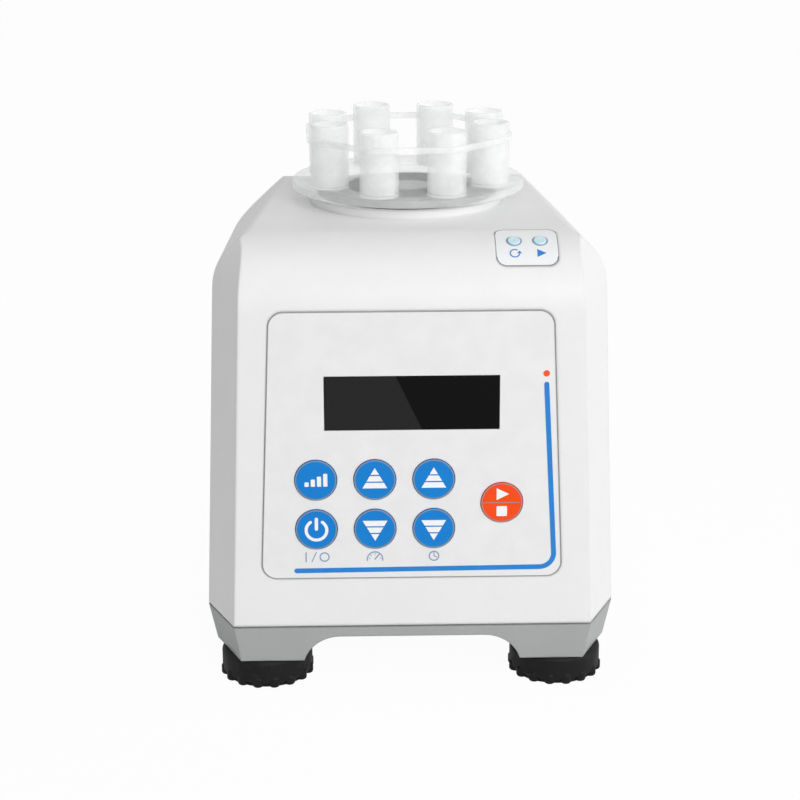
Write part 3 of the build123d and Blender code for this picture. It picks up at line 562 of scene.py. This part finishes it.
# The rack is moulded in natural polypropylene: cloudy white, and thin enough to see through.
# One round plate carries eight tube cups, and a thin hoop ties the cups together.
# A faint even glow stands in for the light that the cloudy walls pass on.
made, shader, tree = material(
    "rack_clear", Subsurface_Weight=0.2, Subsurface_Scale=0.004, Subsurface_Radius=(1, 1, 1),
    Coat_Weight=0.1, Coat_Roughness=0.15, Emission_Color=(1, 1, 1), Emission_Strength=0.09,
)
cloud = noise(tree, size=7, detail=4)
wire(
    shader,
    Base_Color=cloud.step(0.3, 0.7).mix(srgb("f7f9f8"), srgb("fdfefe")),
    Roughness=0.28 + cloud * 0.14,
    Alpha=0.3 + cloud * 0.12,
    Normal=relief(tree, noise(tree, size=0.9), 0.006, 0.35),
)
clad(made, "rack_plate", "rack_spigot", "rack_hoop", *[f"tube_holder_{k}" for k in range(1, 9)])

# The drive head is a black moulded cup that rides on the eccentric pin's bearing.
# The rack's spigot seats in the bore of its flange.
clad(lab_plastic("head_black", srgb("2c2c2e"), grain=0.5, depth=0.015, roughness=0.45), "drive_head")


# The shaft, the bearings, the guide posts and their washers are ground steel.
# The counterweight on the shaft is brass, and the motor's end cap and plate are cast alloy.
# The stator and the rotor are stacked steel sheets.
def turned_metal(name, low, high, stretch=(1, 1, 8), gloss=0.28):
    """Turned or ground metal, with fine lines round the axis."""
    made, shader, tree = material(name, Metallic=1.0)
    lines = noise(tree, size=0.6, detail=4, stretch=stretch)
    wire(
        shader,
        Base_Color=lines.mix(srgb(low), srgb(high)),
        Roughness=gloss + lines * 0.2,
        Normal=relief(tree, lines, 0.006, 0.2),
    )
    return made


bearing_steel = turned_metal("bearing_steel", "a5a6a8", "d3d4d6")
clad(bearing_steel, "lower_bearing", "upper_bearing", "head_bearing")
shaft_steel = turned_metal("shaft_steel", "97989b", "c3c4c7")
clad(shaft_steel, "drive_shaft", "guide_posts", "stop_washers", "sensor_flag")
clad(turned_metal("counterweight_brass", "b3924f", "dcc183"), "counterweight")
cast_alloy = turned_metal("cast_alloy", "a3a5a8", "cfd1d3", stretch=(1, 1, 1), gloss=0.4)
clad(cast_alloy, "motor_end_cap", "motor_plate")
stator_steel = turned_metal("stator_steel", "6b6a66", "8d8b86", stretch=(0.4, 0.4, 10), gloss=0.4)
clad(stator_steel, "stator", "rotor")

# The motor's can is steel, painted black. It hangs under the plate by the end cap's screws.
# The paint has a coarse, even grain.
clad(lab_plastic("motor_black", srgb("323234"), grain=0.8, depth=0.02, roughness=0.4), "motor_can")

# The boards are green glass laminate. Screws hold the control board and the power board to bosses.
# The switches and the display on the control board are black, and so is the touch sensor on the tray.
made, shader, tree = material("board_green")
mask = noise(tree, size=2.4)
wire(
    shader,
    Base_Color=mask.step(0.4, 0.6).mix(srgb("1f5a35"), srgb("2d7446")),
    Roughness=0.3 + mask * 0.2,
    Normal=relief(tree, noise(tree, size=0.6, detail=2), 0.01),
)
clad(made, "control_board", "power_board", "lamp_board")
clad(lab_plastic("switch_black", srgb("262627"), grain=0.5), "key_switches", "touch_sensor", "display_module")

# The power inlet at the rear is black moulded thermoset, screwed into a pocket of the wall.
# Its three pins are nickel plated brass.
inlet_black = lab_plastic("inlet_black", srgb("232325"), depth=0.015, roughness=0.45, soft_edge=0.3)
clad(inlet_black, "power_inlet")
clad(turned_metal("pin_metal", "c9bd93", "e6dcb9"), "inlet_pins")

# The mixer stands on a plain white floor, which keeps a little of its shadow.
# The floor and the world show as white, while the world's own light on the mixer is weaker.
floor_size, floor_white, world_light = 6.0, 0.96, 0.37


def rays(tree):
    """Three masks: 1 on camera rays, on glossy rays and on transmission rays."""
    kinds = ("Camera", "Glossy", "Transmission")
    return [tree.node("ShaderNodeLightPath", output=f"Is {kind} Ray") for kind in kinds]


made, shader, tree = material("floor_white", Base_Color=(0.9, 0.9, 0.9), Roughness=0.7)
camera_ray, glossy_ray, through_ray = rays(tree)
paper = tree.node("ShaderNodeEmission", Color=(1, 1, 1, 1), Strength=1.0)
blend = camera_ray * floor_white + glossy_ray * 0.5 + through_ray * 0.5
mixed = tree.node("ShaderNodeMixShader", n0=blend, n1=Socket(tree.tree, shader.outputs[0]), n2=paper)
tree.tree.links.new(mixed.link, tree.tree.nodes["Material Output"].inputs[0])
mesh = bmesh.new()
bmesh.ops.create_grid(mesh, x_segments=1, y_segments=1, size=floor_size / 2)
data = bpy.data.meshes.new("floor")
mesh.to_mesh(data)
mesh.free()
data.materials.append(made)
floor = bpy.data.objects.new("floor", data)
bpy.context.scene.collection.objects.link(floor)

world = bpy.data.worlds.new("world")
bpy.context.scene.world = world
world.use_nodes = True
tree = Socket(world.node_tree, None)
camera_ray, glossy_ray, through_ray = rays(tree)
shown = tree.maths("MAXIMUM", tree.maths("MAXIMUM", camera_ray, glossy_ray * 0.8), through_ray)
strength = world_light + shown * (1 - world_light)
sky = tree.node("ShaderNodeBackground", Color=(1, 1, 1, 1), Strength=strength)
world.node_tree.links.new(sky.link, world.node_tree.nodes["World Output"].inputs[0])

# Three soft lamps light the mixer: a broad one ahead, one at the right and one above.
# Each row gives a lamp's place, the point that it faces, its width and height, and its power in watts.
for name, where, towards, width, height, power in (
    ("front_light", (0.67, -1.52, 0.91), (0, 0, 0.08), 1.2, 0.8, 12.9),
    ("right_light", (1.3, -0.5, 0.5), (0, 0, 0.08), 0.8, 0.8, 4.6),
    ("top_light", (0.1, -0.5, 1.5), (0, 0, 0.1), 0.9, 0.9, 3.0),
):
    light = bpy.data.lights.new(name, "AREA")
    light.shape = "RECTANGLE"
    light.size, light.size_y, light.energy = width, height, power
    lamp = bpy.data.objects.new(name, light)
    bpy.context.scene.collection.objects.link(lamp)
    lamp.location = where
    lamp.rotation_euler = (Vector(where) - Vector(towards)).to_track_quat("Z", "Y").to_euler()
